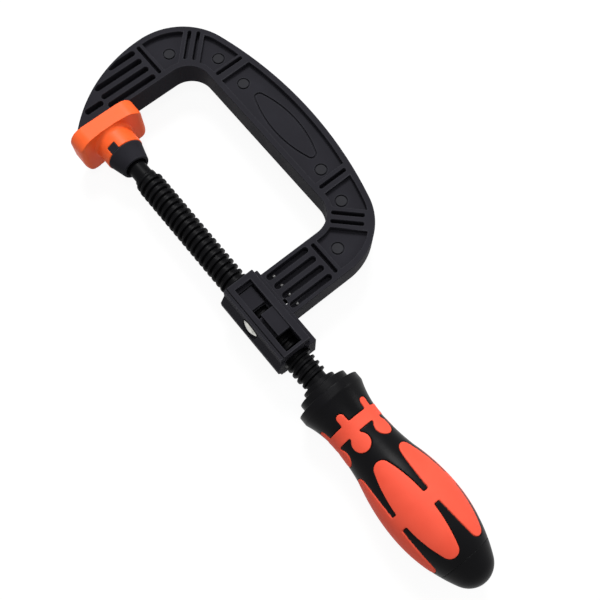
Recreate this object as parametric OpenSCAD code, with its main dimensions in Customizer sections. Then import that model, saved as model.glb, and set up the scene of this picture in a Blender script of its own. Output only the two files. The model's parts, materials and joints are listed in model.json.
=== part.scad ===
// Quick release clamp: a moulded C-frame with a nut housing, a screw, a swivel pad and a handle.
// X is the screw axis, from the fixed jaw face at x = 0 to the handle. Y runs from the screw to
// the spine, and Z across the thickness of the frame. The screw is drawn run right in.

/* [Opening] */
// Travel of the pad, the largest opening of the clamp
capacity = 76.2; // [60:0.1:100]
// Gap between the jaw face and the pad with the screw run right in
closed_gap = 1; // [0.6:0.1:3]
// Distance from the screw axis to the inside of the spine
throat = 54.4; // [50:0.1:70]

/* [Frame] */
// Thickness of the frame
frame_t = 13; // [12.4:0.1:16]
// Width of the spine at the middle of its bow
spine_w = 25.6; // [24:0.1:30]
// Radius of the bowed back of the spine
spine_r = 197; // [170:1:260]
// Depth of the jaw arm
jaw_w = 24.6; // [23.6:0.1:28]
// Radius of the edge that narrows the jaw arm towards its tip
jaw_r = 71.5; // [66:0.5:90]
// Depth of the lower arm
arm_w = 23; // [22.4:0.1:27]
// Outer radius at the jaw corner
jaw_corner_r = 32.5; // [29:0.5:36]
// Outer radius at the lower corner
arm_corner_r = 30; // [27:0.5:34]
// Inner radius at both corners
inner_r = 11.8; // [9:0.1:14]
// Width of the rim around the sunken panels
rim_w = 3; // [2:0.1:3.6]
// Depth of the sunken panels
panel_d = 2.6; // [1:0.1:4]
// Width of the narrow slots between the panels
slit_w = 1.8; // [1.2:0.1:2.4]
// Width of the long slots in both arms
arm_slot_w = 2.9; // [2:0.1:3.4]
// Depth of all slots
slot_d = 4; // [2:0.1:4.4]

/* [Housing] */
// Length of the nut housing
housing_len = 39.4; // [38.6:0.1:50]
// Height of the nut housing across the frame
housing_h = 26; // [25.2:0.1:32]
// Distance from the screw axis to the spine side of the housing
housing_right = 7.8; // [7.6:0.1:9]
// Distance from the screw axis to the seam with the side cover
seam = 6.4; // [6.2:0.1:6.8]
// Height of the flange at the foot of the lower arm
foot_h = 16; // [14:0.1:24]
// Thickness of that flange
foot_t = 2.4; // [1.6:0.1:4]
// Thickness of the side cover's plate
cover_t = 1.6; // [1.2:0.1:2.4]
// How far the side cover's nose stands out from its plate
nose_h = 2.4; // [2.3:0.1:4]

/* [Quick release] */
// Travel of the release button
release_travel = 1.5; // [1.45:0.01:1.6]
// Wall of the slider around the screw
slider_wall = 0.9; // [0.7:0.05:1]
// Diameter of the button's steel cap
stud_d = 9; // [7:0.1:9.4]
// Height of the dome on the steel cap
stud_h = 1.2; // [0.6:0.1:1.6]
// Length of the half nut
nut_len = 15.6; // [10:0.1:16]
// Height of the half nut across the frame
nut_h = 7.2; // [5:0.1:8]
// Wire of the release spring
spring_wire = 0.6; // [0.4:0.05:0.7]
// Outer diameter of the release spring
spring_d = 4.6; // [4:0.1:5]
// Number of turns in the release spring
spring_turns = 7; // [5:1:8]

/* [Screw] */
// Outer diameter of the thread
thread_d = 13; // [12.8:0.1:13.2]
// Pitch of the thread
pitch = 3.175; // [2.8:0.005:3.6]
// Depth of the thread
thread_depth = 1.3; // [1.1:0.05:1.35]
// Bare thread between the housing and the handle with the screw run right in
standoff = 15.3; // [8:0.1:30]
// Diameter of the plain shank inside the handle
shank_d = 10; // [9:0.1:10.1]
// Length of the plain shank
shank_len = 71.6; // [60:0.1:74]

/* [Swivel pad] */
// Width of the pad along the jaw
pad_w = 34.6; // [30:0.1:40]
// Height of the pad across the frame
pad_h = 23; // [21:0.1:28]
// Thickness of the pad's flange
pad_t = 9.2; // [8.6:0.1:11]
// Outer diameter of the collar on the pad
pad_collar_d = 19; // [18.6:0.1:20.6]
// Depth of the wide hollow across the back of the pad's flange
pad_scoop = 1.4; // [0.6:0.1:2]
// Radius of the hollow between the pad's flange and its collar
pad_fillet_r = 2.6; // [2:0.1:5.2]
// Diameter of the swivel ball
ball_d = 12; // [11.4:0.1:12.4]
// Largest tilt of the pad to either side
pad_tilt = 6; // [2:0.5:6]

/* [Handle] */
// Length of the handle from its front flange to its end
handle_len = 97.5; // [94:0.5:120]
// Diameter of the front flange
handle_flange_d = 30.8; // [27:0.2:34]
// Diameter of the waist
waist_d = 24.4; // [22:0.2:28]
// Diameter of the belly
belly_d = 34; // [30:0.2:40]
// Length of the handle behind its belly
tail_len = 36.5; // [34:0.5:40]
// Radius of the handle's sides behind the belly
tail_r = 66; // [60:1:76]
// Depth of the grip inlays
inlay_d = 1.2; // [0.8:0.1:2]
// Number of grip figures around the handle
grip_count = 6; // [5:1:6]

/* [Hidden] */
$fn = 64;

// Colours
nylon = [0.14, 0.14, 0.15];
orange = [1.0, 0.36, 0.16];
steel = [0.78, 0.78, 0.76];
dark_steel = [0.2, 0.2, 0.21];

// Clearances: between fixed pieces, on a running fit, on a sliding piece and past an edge that is cut
fit_gap = 0.05;
run_gap = 0.05;
slide_gap = 0.3;
past = 1;

// Places along the screw, in order from the jaw face
pad_x0 = closed_gap;
ball_depth = 15;
ball_x = pad_x0 + ball_depth;
ball_r = ball_d / 2;
ball_cut = 1.2;
ball_flat = ball_r - ball_cut;
seat_split = 2.4;
socket_x0 = ball_x - seat_split;
collar_past_ball = 2.9;
collar_end = ball_x + collar_past_ball;
cone_len = 8.6;
socket_x1 = collar_end + cone_len;
drawn_back_gap = 2.1;
housing_x0 = socket_x1 + capacity + drawn_back_gap;
housing_x1 = housing_x0 + housing_len;
arm_set_back = 2.2;
jaw_gap = housing_x0 + arm_set_back;
thread_x1 = housing_x1 + standoff;

// Outline of the frame, with the centres of its arcs
arm_foot = housing_right + foot_t;
spine_centre = [jaw_gap / 2, throat + spine_w - spine_r];
function corner_centre(x, r) =
    [x, spine_centre.y + sqrt(pow(spine_r - r, 2) - pow(x - spine_centre.x, 2))];
jaw_corner = corner_centre(jaw_corner_r - jaw_w, jaw_corner_r);
arm_corner = corner_centre(jaw_gap + arm_w - arm_corner_r, arm_corner_r);
jaw_centre = [jaw_r - jaw_w, jaw_corner.y];
sector_reach = 1.4;
// How far an arc stands past the arc or the edge that it runs into
arc_lap = 0.01;

// Panels and slots of the frame, from the inner corners and the foot of the lower arm
panel_drop = 14.6;
panel_low = throat - panel_drop;
jaw_bar = [-6.9, 3.6];
jaw_slits = [-3.75, 0.57];
jaw_slit_ends = [-0.4, 14.1];
arm_bar = [-4.95, 5.5];
arm_slits = [-1.98, 2.3];
arm_slit_ends = [-2.1, 11.3];
jaw_upright = [12.3, 18.8];
arm_upright = [12.6, 19.2];
upright_bars = [jaw_upright, [jaw_gap - arm_upright[1], jaw_gap - arm_upright[0]]];
upright_slit_insets = [14.5, 16.1];
upright_slits = [upright_slit_insets[0], jaw_gap - upright_slit_insets[1]];
upright_slit_rises = [3.9, 17.4];
upright_slit_ends = [throat + upright_slit_rises[0], throat + upright_slit_rises[1]];
cross_slit_drop = 17.3;
cross_slit_y = throat - cross_slit_drop;
cross_slit_inset = 3.8;
slot_drop = 20.2;
slot_top = throat - slot_drop;
slot_wall = 1;
jaw_slot_x = -3.4;
jaw_slot_pitch = 5.6;
jaw_slot_lows = [8.9, 8.9, 8.9, 20.4];
jaw_tip_slot = [-7, -1.8, 5.2];
arm_slots = 4;
arm_slot_inset = 3.3;
arm_slot_x = jaw_gap + arm_slot_inset;
arm_slot_pitch = 5.47;
arm_slot_lift = 2.7;
arm_slot_low = arm_foot + arm_slot_lift;
nub_r = 0.7;
nub_h = 0.8;
nub_lift = 5;
nub_y = arm_foot + nub_lift;
pin_mark_r = 3;
pin_mark_d = 0.8;
pin_line_w = 0.5;
jaw_pin_marks = [[-10.4, -7], [6.6, 10], [25.3, 10.8]];
arm_pin_marks = [[-23.9, 10.3], [-5.8, 7.3], [11, -9]];
plaque_shift = [1.4, 12.1];
plaque_centre = [jaw_gap / 2 + plaque_shift.x, throat + plaque_shift.y];
plaque_size = [22, 6.2];
plaque_end_r = 2.6;
plaque_d = 0.8;
plaque_line_w = 0.7;

// Quick release: the slider around the screw, its channel in the housing and the half nut
thread_r = thread_d / 2;
root_r = thread_r - thread_depth;
bore_gap = 0.35;
bore_r = thread_r + bore_gap;
ring_r = bore_r + slider_wall;
ring_right = 5.5;
ring_insets = [4.6, 10.2];
ring_x = [housing_x0 + ring_insets[0], housing_x1 - ring_insets[1]];
bar_len = 9.3;
bar_x = [ring_x[0], ring_x[0] + bar_len];
bar_y = [-5.6, 3.6];
bar_h = 18.4;
limb_wall = 1;
limb_inset = 6.2;
limb_x = [housing_x0 + limb_inset, housing_x0 + limb_inset + nut_len + 2 * limb_wall];
limb_right = 8.6;
limb_side = 1.6;
limb_h = nut_h + 2 * limb_side;
nut_x = [limb_x[0] + limb_wall, limb_x[1] - limb_wall];
nut_y = [3.8, 7.5];
window_insets = [2.9, 1.5];
window_x = [housing_x0 + window_insets[0], housing_x1 - window_insets[1]];
window_y = [-3.8, 4.5];
window_step = bar_h / 2 + slide_gap;
bridge_len = 12.1;
bridge_inset = 9.2;
bridge_x = [housing_x1 - bridge_inset - bridge_len, housing_x1 - bridge_inset];
bridge_y = -2;
bridge_low = 9.6;
bridge_drop = 1.1;
bridge_z = [bridge_low, housing_h / 2 - bridge_drop];
sight_lip = 0.4;
sight_x = [bar_x[1] + sight_lip, bridge_x[0]];
sight_half = 3.4;
foot_overhang = 1.4;
foot_corner_r = 3;

// Release button, its spring and the side cover
stud_inset = 18.7;
stud_x = housing_x0 + stud_inset;
stud_z = 6;
stud_r = stud_d / 2;
stud_seat = -(bore_r + release_travel + fit_gap);
boss_len = 3.2;
tenon_r = 2;
tenon_len = 0.5;
dome_r = (pow(stud_r, 2) + pow(stud_h, 2)) / (2 * stud_h);
spring_end = 20.2;
spring_y = [limb_right + fit_gap, spring_end - fit_gap];
spring_pocket_gap = 0.45;
spring_pocket_r = spring_d / 2 + spring_pocket_gap;
spring_start = limb_right + release_travel + slide_gap;
spring_sight = [2.6, 1.6];
rings_per_turn = 8;
wire_sides = 6;
cover_y = -seam - cover_t;
cover_inset = 0.8;
nose_foot = 7;
nose_flat = 1.8;
nose_overhang = 1;
tongue_len = 6;
tongue_insets = [6.2, 3.2];
tongue_x = [housing_x0 + tongue_insets[0], housing_x1 - tongue_insets[1] - tongue_len];
tongue_depth = 1.6;
tongue_z = [10.2, 11.4];
tongue_gap = 0.1;

// Thread form: axial widths of crest and flank, and the half nut's clearances
thread_sides = 16;
crest_share = 0.36;
flank_share = 0.14;
crest_w = crest_share * pitch;
flank_w = flank_share * pitch;
ridge_w = crest_w + 2 * flank_w;
nut_tip_gap = 0.4;
nut_base_gap = 0.5;
nut_flank_gap = 0.25;
thread_lead = 2.3;
thread_x0 = nut_x[0] - capacity - thread_lead;
thread_turns = floor((thread_x1 - thread_x0 - ridge_w) / pitch);

// Screw end inside the pad
spigot_r = 3;
spigot_x0 = ball_x - ball_flat + run_gap;
shoulder_x = ball_x + ball_flat + run_gap;
shoulder_r = 4;
neck_r = 4.5;
neck_gap = 0.8;
neck_x = socket_x1 + neck_gap;
screw_head_r = 3.5;
screw_head_h = 2;
screw_r = 1.5;
screw_len = 8;
driver_slot = [0.8, 0.8];

// Pad, socket and thrust cup
seat_gap = 0.1;
seat_r = ball_r + seat_gap;
cup_depth = 7.2;
cup_x0 = pad_x0 + cup_depth;
cup_wall = 0.9;
cup_r = seat_r + cup_wall;
cup_hole_gap = 1.1;
cup_hole_r = screw_head_r + cup_hole_gap;
socket_step = 0.6;
socket_r = cup_r + socket_step;
pad_collar_r = pad_collar_d / 2;
cone_step = 0.3;
cone_end_r = 6.8;
cone_r = [pad_collar_r - cone_step, cone_end_r];
socket_hole_r = shoulder_r + slide_gap;
key_w = 4.6;
key_len = 3.8;
key_angle = 26;
pad_corner_r = 7;
pad_back_r = 2.6;
fillet_r = min(pad_fillet_r, pad_w / 2 - pad_back_r - pad_collar_r);
scoop_chord = pad_w - 2 * pad_back_r;
scoop_r = (pow(scoop_chord / 2, 2) + pow(pad_scoop, 2)) / (2 * pad_scoop);
scoop_x = pad_x0 + pad_t - pad_scoop;

// Handle: places along it, its profile and the grip figures
shank_r = shank_d / 2;
flat_cut = 0.8;
shank_flat = shank_r - flat_cut;
shank_x1 = thread_x1 + shank_len;
round_shank_len = 10;
flats_x = thread_x1 + round_shank_len;
stop_ring_r = 8;
stop_ring_len = 2.7;
stop_ring_x1 = thread_x1 + stop_ring_len;
collar_r = 11.9;
collar_len = 3.8;
handle_x0 = stop_ring_x1 + collar_len;
handle_x1 = handle_x0 + handle_len;
flange_len = 4;
flange_x = handle_x0 + flange_len;
waist_run = 16;
waist_x = flange_x + waist_run;
belly_x = handle_x1 - tail_len;
cap_len = 12.5;
cap_x = handle_x1 - cap_len;
recess_len = 7;
washer_x = cap_x - recess_len;
washer_t = 1.5;
washer_r = 6.5;
bolt_r = 3;
bolt_head_r = 5;
bolt_head_h = 4;
bolt_bite = 12;
socket_key_r = 2.6;
recess_r = 8;
cap_plug = 1;
flange_r = handle_flange_d / 2;
waist_r = waist_d / 2;
belly_r = belly_d / 2;
swell_x = (waist_x + belly_x) / 2;
function arc_r(run, rise) = (run * run + rise * rise) / (2 * rise);
hollow_r = arc_r(waist_x - flange_x, flange_r - waist_r);
swell_r = arc_r(swell_x - waist_x, (belly_r - waist_r) / 2);
end_r = (pow(tail_r, 2) - pow(tail_len, 2) - pow(tail_r - belly_r, 2)) / (2 * (tail_r - tail_len));
end_x = belly_x + (tail_len - end_r) * tail_r / (tail_r - end_r);
inlay_proud = 0.15;
grip_angle = 20;
groove = 0.15;
band_w = 5.5;
band_past_waist = 0.8;
band_x = [waist_x + band_past_waist - band_w, waist_x + band_past_waist];
stub_w = 3.7;
stub_len = 4.7;
drop_r = 4.2;
drop_run = 4.3;
drop_x = band_x[1] + drop_run;
drop_neck_w = 5.2;
oval_gaps = [5.8, 3.1];
oval_ends = [drop_x + drop_r + oval_gaps[0], cap_x - oval_gaps[1]];
oval_x = (oval_ends[0] + oval_ends[1]) / 2;
oval_half_w = 7.2;
oval_size = [(oval_ends[1] - oval_ends[0]) / 2, oval_half_w];
oval_end_r = 3.8;
belt_w = 6;
belt_x = [oval_x - belt_w / 2, oval_x + belt_w / 2];
front_floor = waist_r - inlay_d;
oval_floor_gap = 0.2;
rear_floor = (oval_half_w + groove) / tan(180 / grip_count) + oval_floor_gap;
belt_floor = belly_r - inlay_d;

// Centre line of the release spring, and its least gap to itself
function spring_point(t) =
    let (r = (spring_d - spring_wire) / 2, rise = spring_y[1] - spring_y[0] - spring_wire)
    [r * cos(360 * t), spring_y[0] + spring_wire / 2 + rise * t / spring_turns, r * sin(360 * t)];
spring_line = [for (i = [0 : rings_per_turn * spring_turns]) spring_point(i / rings_per_turn)];
half_turn = rings_per_turn / 2;
spring_self_gap = min([for (i = [0 : len(spring_line) - 1], j = [i + half_turn : len(spring_line) - 1])
    norm(spring_line[i] - spring_line[j])]) - spring_wire;
echo(spring_self_gap = spring_self_gap);

// Block between two corners
module box(low, high) {
    translate(low) cube(high - low);
}

// Outline drawn in Y and Z, carried along X
module along_x(x0, x1) {
    translate([x0, 0, 0]) rotate([90, 0, 90]) linear_extrude(x1 - x0) children();
}

// Outline drawn in X and Z, carried along Y
module along_y(y0, y1) {
    translate([0, y0, 0]) rotate([-90, 0, 0]) linear_extrude(y1 - y0) children();
}

// Round bar along the screw axis
module rod(r, x0, x1) {
    along_x(x0, x1) circle(r);
}

// Outline drawn in X and radius, turned about the screw axis
module turned() {
    rotate([0, 90, 0]) rotate_extrude($fn = 96) mirror([1, -1]) children();
}

// The same shape on both faces of the frame
module both_faces() {
    children();
    mirror([0, 0, 1]) children();
}

// Slot with round ends between two points
module slot(from, to, w) {
    run = to - from;
    translate(from) circle(w / 2);
    translate(to) circle(w / 2);
    translate(from) rotate(atan2(run.y, run.x)) translate([0, -w / 2]) square([norm(run), w]);
}

// Round hole drawn out along the slider's travel
module long_hole(r) {
    slot([-release_travel, 0], [0, 0], 2 * r);
}

// Oval of four arcs
module oval(half, end_r) {
    run = half.x - end_r;
    side_r = (run * run + half.y * half.y - end_r * end_r) / (2 * (half.y - end_r));
    meet = run * (1 + end_r / (side_r - end_r));
    intersection() {
        translate([0, half.y - side_r]) circle(side_r, $fn = 128);
        translate([0, side_r - half.y]) circle(side_r, $fn = 128);
        square([2 * meet, 2 * half.y], center = true);
    }
    for (side = [-1, 1]) translate([side * run, 0]) circle(end_r);
}

// Frame outline, drawn in from every edge by inset
module frame_outline(inset) {
    difference() {
        outer_edge(inset);
        opening(inset);
    }
}

// Everything inside the outer edge of the frame
module outer_edge(inset) {
    translate(jaw_corner) circle(jaw_corner_r + arc_lap - inset, $fn = 128);
    translate(arm_corner) circle(arm_corner_r + arc_lap - inset, $fn = 128);
    intersection() {
        translate(spine_centre) circle(spine_r - inset, $fn = 360);
        polygon([jaw_corner, spine_centre + sector_reach * (jaw_corner - spine_centre),
            spine_centre + sector_reach * (arm_corner - spine_centre), arm_corner]);
    }
    intersection() {
        translate(jaw_centre) circle(jaw_r - inset, $fn = 180);
        translate([-jaw_w - past, jaw_corner.y - jaw_r]) square([jaw_w + past, jaw_r]);
    }
    translate([jaw_gap, housing_right]) square([arm_w - inset, arm_corner.y - housing_right]);
}

// The mouth of the C, open past the tip of the jaw
module opening(inset) {
    low = jaw_corner.y - jaw_r;
    r = inner_r + inset;
    translate([-inset, low]) square([jaw_gap + 2 * inset, throat + inset - r - low]);
    translate([r - inset, low]) square([jaw_gap + 2 * inset - 2 * r, throat + inset - low]);
    for (x = [r - inset, jaw_gap + inset - r]) translate([x, throat + inset - r]) circle(r);
}

// Sunken panels, with the bars left between them
module panels() {
    span = jaw_gap + jaw_w + arm_w;
    difference() {
        frame_outline(rim_w);
        translate([-jaw_w, panel_low - span]) square([span, span]);
        translate([0, throat]) rotate(45) bar(jaw_bar);
        translate([jaw_gap, throat]) rotate(-45) bar(arm_bar);
        for (x = upright_bars) translate([0, throat + spine_w / 2]) bar(x);
    }
}

// Straight bar across the rim, between two distances
module bar(x) {
    reach = spine_w + jaw_w;
    translate([x[0], -reach / 2]) square([x[1] - x[0], reach]);
}

// Slots between the panels and in both arms
module slots() {
    for (x = jaw_slits) translate([0, throat]) rotate(45)
        slot([x, jaw_slit_ends[0]], [x, jaw_slit_ends[1]], slit_w);
    for (x = arm_slits) translate([jaw_gap, throat]) rotate(-45)
        slot([x, arm_slit_ends[0]], [x, arm_slit_ends[1]], slit_w);
    for (x = upright_slits) slot([x, upright_slit_ends[0]], [x, upright_slit_ends[1]], slit_w);
    slot([cross_slit_inset - jaw_w, cross_slit_y], [-cross_slit_inset, cross_slit_y], slit_w);
    slot([jaw_gap + cross_slit_inset, cross_slit_y], [jaw_gap + arm_w - cross_slit_inset, cross_slit_y],
        slit_w);
    intersection() {
        outer_edge(slot_wall);
        for (i = [0 : len(jaw_slot_lows) - 1]) let (x = jaw_slot_x - jaw_slot_pitch * i)
            slot([x, jaw_slot_lows[i]], [x, slot_top - arm_slot_w / 2], arm_slot_w);
    }
    slot([jaw_tip_slot[0], jaw_tip_slot[1]], [jaw_tip_slot[0], jaw_tip_slot[2]], arm_slot_w);
    for (i = [0 : arm_slots - 1]) let (x = arm_slot_x + arm_slot_pitch * i)
        slot([x, arm_slot_low], [x, slot_top - arm_slot_w / 2], arm_slot_w);
}

// What is sunk into one face of the frame
module face_relief() {
    top = frame_t / 2;
    translate([0, 0, top - panel_d]) linear_extrude(panel_d + past) panels();
    translate([0, 0, top - slot_d]) linear_extrude(slot_d + past) slots();
    translate([0, throat, 0]) round_marks(jaw_pin_marks);
    translate([jaw_gap, throat, 0]) round_marks(arm_pin_marks);
    translate([plaque_centre.x, plaque_centre.y, top - panel_d - plaque_d])
        linear_extrude(panel_d) difference() {
            oval(plaque_size, plaque_end_r);
            oval([plaque_size.x - plaque_line_w, plaque_size.y - plaque_line_w],
                plaque_end_r - plaque_line_w);
        }
}

// Round grooves in the floors of the panels, left around the mould's pins
module round_marks(places) {
    for (place = places) translate([place.x, place.y, frame_t / 2 - panel_d - pin_mark_d])
        linear_extrude(panel_d) difference() {
            circle(pin_mark_r);
            circle(pin_mark_r - pin_line_w);
        }
}

// Moulding nubs on the floors of the lower arm's slots
module nubs() {
    for (i = [0 : arm_slots - 1])
        translate([arm_slot_x + arm_slot_pitch * i, nub_y, frame_t / 2 - slot_d - past])
            cylinder(r = nub_r, h = past + nub_h);
}

// Solid of the nut housing, with the flange at the foot of the lower arm
module housing_block() {
    box([housing_x0, -seam, -housing_h / 2], [housing_x1, housing_right, housing_h / 2]);
    translate([0, 0, -foot_h / 2]) linear_extrude(foot_h) difference() {
        translate([housing_x0, 0]) square([housing_len + foot_overhang, arm_foot]);
        translate([housing_x1 + foot_overhang - foot_corner_r, -past])
            square([foot_corner_r + past, arm_foot + past - foot_corner_r]);
    }
    translate([housing_x1 + foot_overhang - foot_corner_r, arm_foot - foot_corner_r, -foot_h / 2])
        cylinder(r = foot_corner_r, h = foot_h);
}

// Channel that the slider moves in, open at the seam for fitting
module slider_channel() {
    reach = ring_r + slide_gap;
    right = ring_right + release_travel + slide_gap;
    along_x(ring_x[0] - slide_gap, ring_x[1] + slide_gap) intersection() {
        slot([-seam - past - reach, 0], [release_travel, 0], 2 * reach);
        translate([-seam - past, -reach]) square([right + seam + past, 2 * reach]);
    }
    box([bar_x[0] - slide_gap, -seam - past, -window_step],
        [bar_x[1] + slide_gap, bar_y[1] + release_travel + slide_gap, window_step]);
    box([limb_x[0] - slide_gap, 0, -limb_h / 2 - slide_gap],
        [limb_x[1] + slide_gap, spring_start, limb_h / 2 + slide_gap]);
}

// Window over the slider, on one face of the housing
module window() {
    top = housing_h / 2 + past;
    difference() {
        box([bar_x[0] - slide_gap, window_y[0], 0], [window_x[1], window_y[1], top]);
        box([bridge_x[0], bridge_y, bridge_z[0]], [bridge_x[1], window_y[1] + past, bridge_z[1]]);
    }
    box([window_x[0], window_y[0], window_step], [bar_x[0], window_y[1], top]);
}

// Slots in the housing's rails for the side cover's tongues
module tongue_slots() {
    for (x = tongue_x)
        box([x - tongue_gap, -seam - past, tongue_z[0] - tongue_gap],
            [x + tongue_len + tongue_gap, tongue_depth - seam + tongue_gap, tongue_z[1] + tongue_gap]);
}

// Round bar along the button's axis
module button_rod(r, y0, y1) {
    along_y(y0, y1) translate([stud_x, -stud_z]) circle(r);
}

// C-frame and nut housing, one moulding
module c_frame() {
    color(nylon) difference() {
        union() {
            difference() {
                translate([0, 0, -frame_t / 2]) linear_extrude(frame_t) frame_outline(0);
                both_faces() face_relief();
            }
            both_faces() nubs();
            housing_block();
        }
        rod(bore_r, housing_x0 - past, housing_x1 + foot_overhang + past);
        slider_channel();
        both_faces() window();
        both_faces() tongue_slots();
        button_rod(stud_r + bore_gap, -seam - past, stud_seat + boss_len + release_travel + slide_gap);
        along_y(spring_start - past, spring_end) translate([stud_x, 0]) circle(spring_pocket_r);
        box([stud_x - spring_sight.x / 2, arm_foot, 0],
            [stud_x + spring_sight.x / 2, arm_foot + spring_sight.y, frame_t]);
    }
}

// Snap-on cover over the slider, with a nose around the button
module side_cover() {
    half = housing_h / 2 - cover_inset;
    color(nylon) difference() {
        union() {
            box([housing_x0, cover_y, -half], [housing_x1, -seam, half]);
            along_x(housing_x0, housing_x1 + nose_overhang) polygon([[cover_y, nose_foot],
                [cover_y - nose_h, nose_flat], [cover_y - nose_h, -nose_flat], [cover_y, -nose_foot],
                [cover_y + cover_t, -nose_foot], [cover_y + cover_t, nose_foot]]);
            both_faces() for (x = tongue_x)
                box([x, -seam - cover_t / 2, tongue_z[0]],
                    [x + tongue_len, tongue_depth - seam, tongue_z[1]]);
        }
        rod(bore_r, housing_x0 - past, housing_x1 + nose_overhang + past);
        along_x(ring_x[0] - slide_gap, ring_x[1] + slide_gap)
            translate([-release_travel, 0]) circle(ring_r + slide_gap);
        button_rod(stud_r + bore_gap, cover_y - nose_h - past, 0);
    }
}

// Slider around the screw: ring with an opening before the bridge, finger bars, limb for the half nut
// and boss for the button
module release_slider() {
    color(nylon) difference() {
        union() {
            along_x(ring_x[0], ring_x[1]) intersection() {
                long_hole(ring_r);
                translate([-2 * ring_r, -ring_r]) square([2 * ring_r + ring_right, 2 * ring_r]);
            }
            box([bar_x[0], bar_y[0], -bar_h / 2], [bar_x[1], bar_y[1], bar_h / 2]);
            box([limb_x[0], 0, -limb_h / 2], [limb_x[1], limb_right, limb_h / 2]);
            button_rod(stud_r, stud_seat, stud_seat + boss_len);
        }
        along_x(ring_x[0] - past, ring_x[1] + past) long_hole(bore_r);
        both_faces() box([sight_x[0], -sight_half, 0], [sight_x[1], sight_half, ring_r + past]);
        box([nut_x[0] - fit_gap, 0, -nut_h / 2 - fit_gap],
            [nut_x[1] + fit_gap, nut_y[1] + fit_gap, nut_h / 2 + fit_gap]);
        button_rod(stud_r + bore_gap, cover_y - nose_h, stud_seat);
        button_rod(tenon_r + fit_gap, stud_seat - past, stud_seat + tenon_len + fit_gap);
    }
}

// Closed helical thread with its core, right-handed about X
module thread(x0, turns, low_r, high_r, crest, flank) {
    steps = thread_sides * turns;
    shifts = [0, flank, flank + crest, 2 * flank + crest];
    radii = [low_r, high_r, high_r, low_r];
    points = [for (k = [0 : steps], j = [0 : 3]) let (a = 360 * k / thread_sides)
        [x0 + pitch * k / thread_sides + shifts[j], radii[j] * cos(a), radii[j] * sin(a)]];
    front = len(points);
    back = front + 1;
    last = 4 * steps;
    turn = 4 * thread_sides;
    flanks = [for (k = [0 : steps - 1], j = [0, 2]) let (p = 4 * k + j)
        each [[p, p + 1, p + 5], [p, p + 5, p + 4]]];
    crests = [for (k = [0 : steps - 1]) let (p = 4 * k + 1) [p, p + 1, p + 5, p + 4]];
    roots = [for (k = [0 : steps - thread_sides - 1]) let (p = 4 * k + 3)
        [p, p + turn - 3, p + turn + 1, p + 4]];
    start = [for (k = [0 : thread_sides - 1]) [front, 4 * k, 4 * k + 4]];
    start_step = [[front, turn, 3], [front, 3, 2], [front, 2, 1], [front, 1, 0]];
    end = [for (k = [steps - thread_sides : steps - 1]) [back, 4 * k + 7, 4 * k + 3]];
    end_step = [[back, last - turn + 3, last], [back, last, last + 1], [back, last + 1, last + 2],
        [back, last + 2, last + 3]];
    polyhedron(concat(points, [[x0, 0, 0], [x0 + pitch * turns + shifts[3], 0, 0]]),
        concat(flanks, crests, roots, start, start_step, end, end_step));
}

// Half nut, with the screw's thread and its clearances cut into it
module half_nut() {
    slope = flank_w / thread_depth;
    flank = slope * (thread_depth - nut_tip_gap + nut_base_gap);
    crest = crest_w - 2 * slope * nut_base_gap + 2 * nut_flank_gap;
    skipped = floor((nut_x[0] - thread_x0) / pitch) - 2;
    turns = ceil(nut_len / pitch) + 3;
    color(dark_steel) difference() {
        box([nut_x[0], nut_y[0], -nut_h / 2], [nut_x[1], nut_y[1], nut_h / 2]);
        thread(thread_x0 + pitch * skipped + ridge_w / 2 - flank - crest / 2, turns,
            root_r + nut_tip_gap, thread_r + nut_base_gap, crest, flank);
    }
}

// Domed steel cap of the button
module release_stud() {
    color(steel) {
        intersection() {
            translate([stud_x, stud_seat + dome_r - stud_h, stud_z]) sphere(dome_r, $fn = 96);
            button_rod(stud_r, stud_seat - stud_h - past, stud_seat);
        }
        button_rod(tenon_r, stud_seat - stud_h / 2, stud_seat + tenon_len);
    }
}

// Release spring, one tube wound along Y
module release_spring() {
    rise = (spring_y[1] - spring_y[0] - spring_wire) / spring_turns;
    lean = atan2(rise, PI * (spring_d - spring_wire));
    count = len(spring_line);
    points = [for (i = [0 : count - 1], s = [0 : wire_sides - 1]) let (a = 360 * i / rings_per_turn,
        b = 360 * s / wire_sides, out = [cos(a), 0, sin(a)], up = [sin(a) * sin(lean), cos(lean),
        -cos(a) * sin(lean)]) spring_line[i] + spring_wire / 2 * (cos(b) * out + sin(b) * up)];
    sides = [for (i = [0 : count - 2], s = [0 : wire_sides - 1]) let (p = wire_sides * i + s,
        q = wire_sides * i + (s + 1) % wire_sides)
        each [[p, q, q + wire_sides], [p, q + wire_sides, p + wire_sides]]];
    first = [for (s = [1 : wire_sides - 2]) [0, s + 1, s]];
    top = wire_sides * (count - 1);
    final = [for (s = [1 : wire_sides - 2]) [top, top + s, top + s + 1]];
    color(steel) translate([stud_x, 0, 0]) polyhedron(points, concat(sides, first, final));
}

// Shank outline, round with two flats
module flatted(r, flat) {
    intersection() {
        circle(r);
        square([2 * r, 2 * flat], center = true);
    }
}

// Screw: spigot for the ball, neck, thread and the shank inside the handle
module spindle() {
    thread_end = thread_x0 + pitch * thread_turns + ridge_w;
    color(nylon) difference() {
        union() {
            rod(spigot_r, spigot_x0, shoulder_x + past);
            rod(shoulder_r, shoulder_x, neck_x + past);
            rod(neck_r, neck_x, thread_x0 + pitch + past);
            thread(thread_x0, thread_turns, root_r, thread_r, crest_w, flank_w);
            rod(shank_r, thread_end - pitch - past, flats_x);
            along_x(flats_x - past, shank_x1) flatted(shank_r, shank_flat);
        }
        rod(screw_r + fit_gap, spigot_x0 - past, spigot_x0 + screw_len + past);
        rod(bolt_r + fit_gap, shank_x1 - bolt_bite - past, shank_x1 + past);
    }
}

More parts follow.
